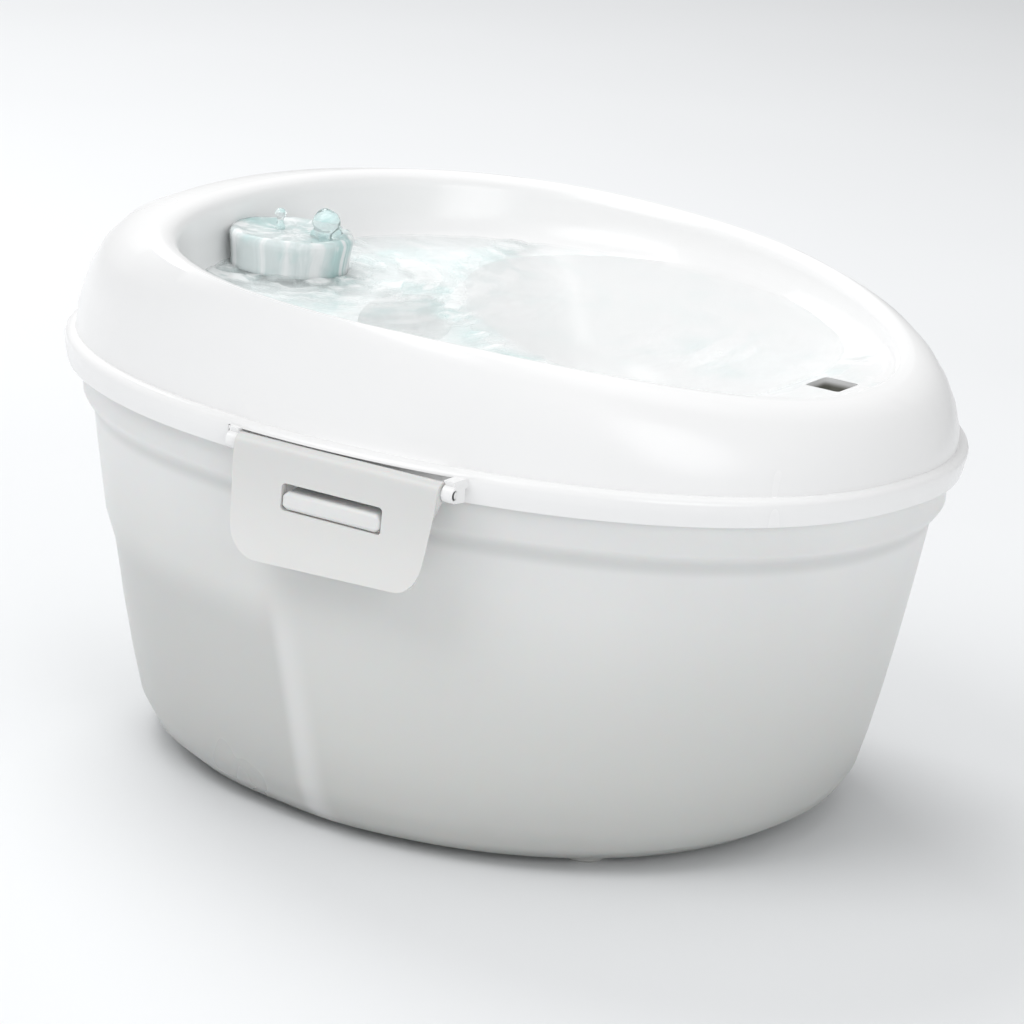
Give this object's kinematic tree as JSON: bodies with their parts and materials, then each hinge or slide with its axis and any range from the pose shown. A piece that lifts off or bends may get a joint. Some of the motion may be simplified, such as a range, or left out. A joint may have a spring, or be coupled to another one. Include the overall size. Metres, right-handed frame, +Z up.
{
  "type": "pet water fountain",
  "caption": "Oval pet drinking fountain: translucent tank, white slanted ring lid with a sunken bowl, raised shelf, spout cap, drain hole and side latches.",
  "frame": {"origin": "on the ground under the middle of the lid's skirt", "axes": "+X towards the front, where the drain hole is; +Y to the far long side; +Z up"},
  "size_m": [0.2601, 0.2142, 0.146],
  "materials": {
    "tank_plastic": "slightly translucent grey-white plastic",
    "lid_plastic": "white plastic with a soft gloss",
    "latch_plastic": "slightly translucent white plastic",
    "cap_plastic": "clear plastic, frosted by water",
    "pin_plastic": "white plastic",
    "rubber_feet": "light grey rubber",
    "tube_plastic": "soft clear tube",
    "black_rubber": "soft black rubber",
    "cover_plastic": "white plastic",
    "filter_plastic": "white plastic",
    "foam": "open-cell foam",
    "carbon": "carbon granules in a fleece",
    "pump_plastic": "black plastic",
    "resin": "dark casting resin",
    "core_steel": "laminated sheet steel",
    "copper": "enamelled copper winding",
    "impeller_plastic": "white plastic",
    "magnet": "sintered ferrite",
    "ceramic": "polished ceramic"
  },
  "bodies": {
    "tank": {"tank": "tank_plastic", "tank_feet": "rubber_feet", "riser_tube": "tube_plastic", "pump_cover": "cover_plastic", "pump_housing": "pump_plastic", "potting_resin": "resin", "stator_core": "core_steel", "stator_coils": "copper", "impeller_chamber": "pump_plastic", "chamber_seal": "black_rubber", "intake_strainer": "pump_plastic", "rotor_shaft": "ceramic", "shaft_bushes": "black_rubber", "pump_suction_cups": "black_rubber", "cord_gland": "black_rubber"},
    "lid": {"lid_bowl": "lid_plastic", "latch_hinge_pins": "pin_plastic", "riser_grommet": "black_rubber"},
    "latch_near": {"latch_near": "latch_plastic"},
    "latch_far": {"latch_far": "latch_plastic"},
    "deflector": {"deflector_cap": "cap_plastic"},
    "cartridge": {"filter_frame": "filter_plastic", "filter_foam": "foam", "filter_carbon": "carbon", "filter_grille": "filter_plastic"},
    "rotor": {"impeller": "impeller_plastic", "rotor_magnet": "magnet"},
    "regulator": {"flow_regulator": "pump_plastic"}
  },
  "joints": [
    {"name": "lid_lift", "type": "slide", "parent": "tank", "child": "lid", "axis": [0, 0, 1], "range_m": [0, 0.15]},
    {"name": "latch_near_open", "type": "hinge", "parent": "lid", "child": "latch_near", "pos_m": [0.0112, -0.1043, 0.105], "axis": [-1, 0, 0], "range_deg": [0, 100]},
    {"name": "latch_far_open", "type": "hinge", "parent": "lid", "child": "latch_far", "pos_m": [0.0112, 0.1043, 0.105], "axis": [1, 0, 0], "range_deg": [0, 100]},
    {"name": "deflector_lift", "type": "slide", "parent": "lid", "child": "deflector", "axis": [0, 0, 1], "range_m": [0, 0.03]},
    {"name": "cartridge_pull", "type": "slide", "parent": "tank", "child": "cartridge", "axis": [1, 0, 0], "range_m": [0, 0.03]},
    {"name": "impeller_spin", "type": "hinge", "parent": "tank", "child": "rotor", "pos_m": [-0.06, 0, 0.033], "axis": [1, 0, 0], "continuous": true},
    {"name": "regulator_slide", "type": "slide", "parent": "tank", "child": "regulator", "axis": [0, 1, 0], "range_m": [0, 0.005]}
  ]
}
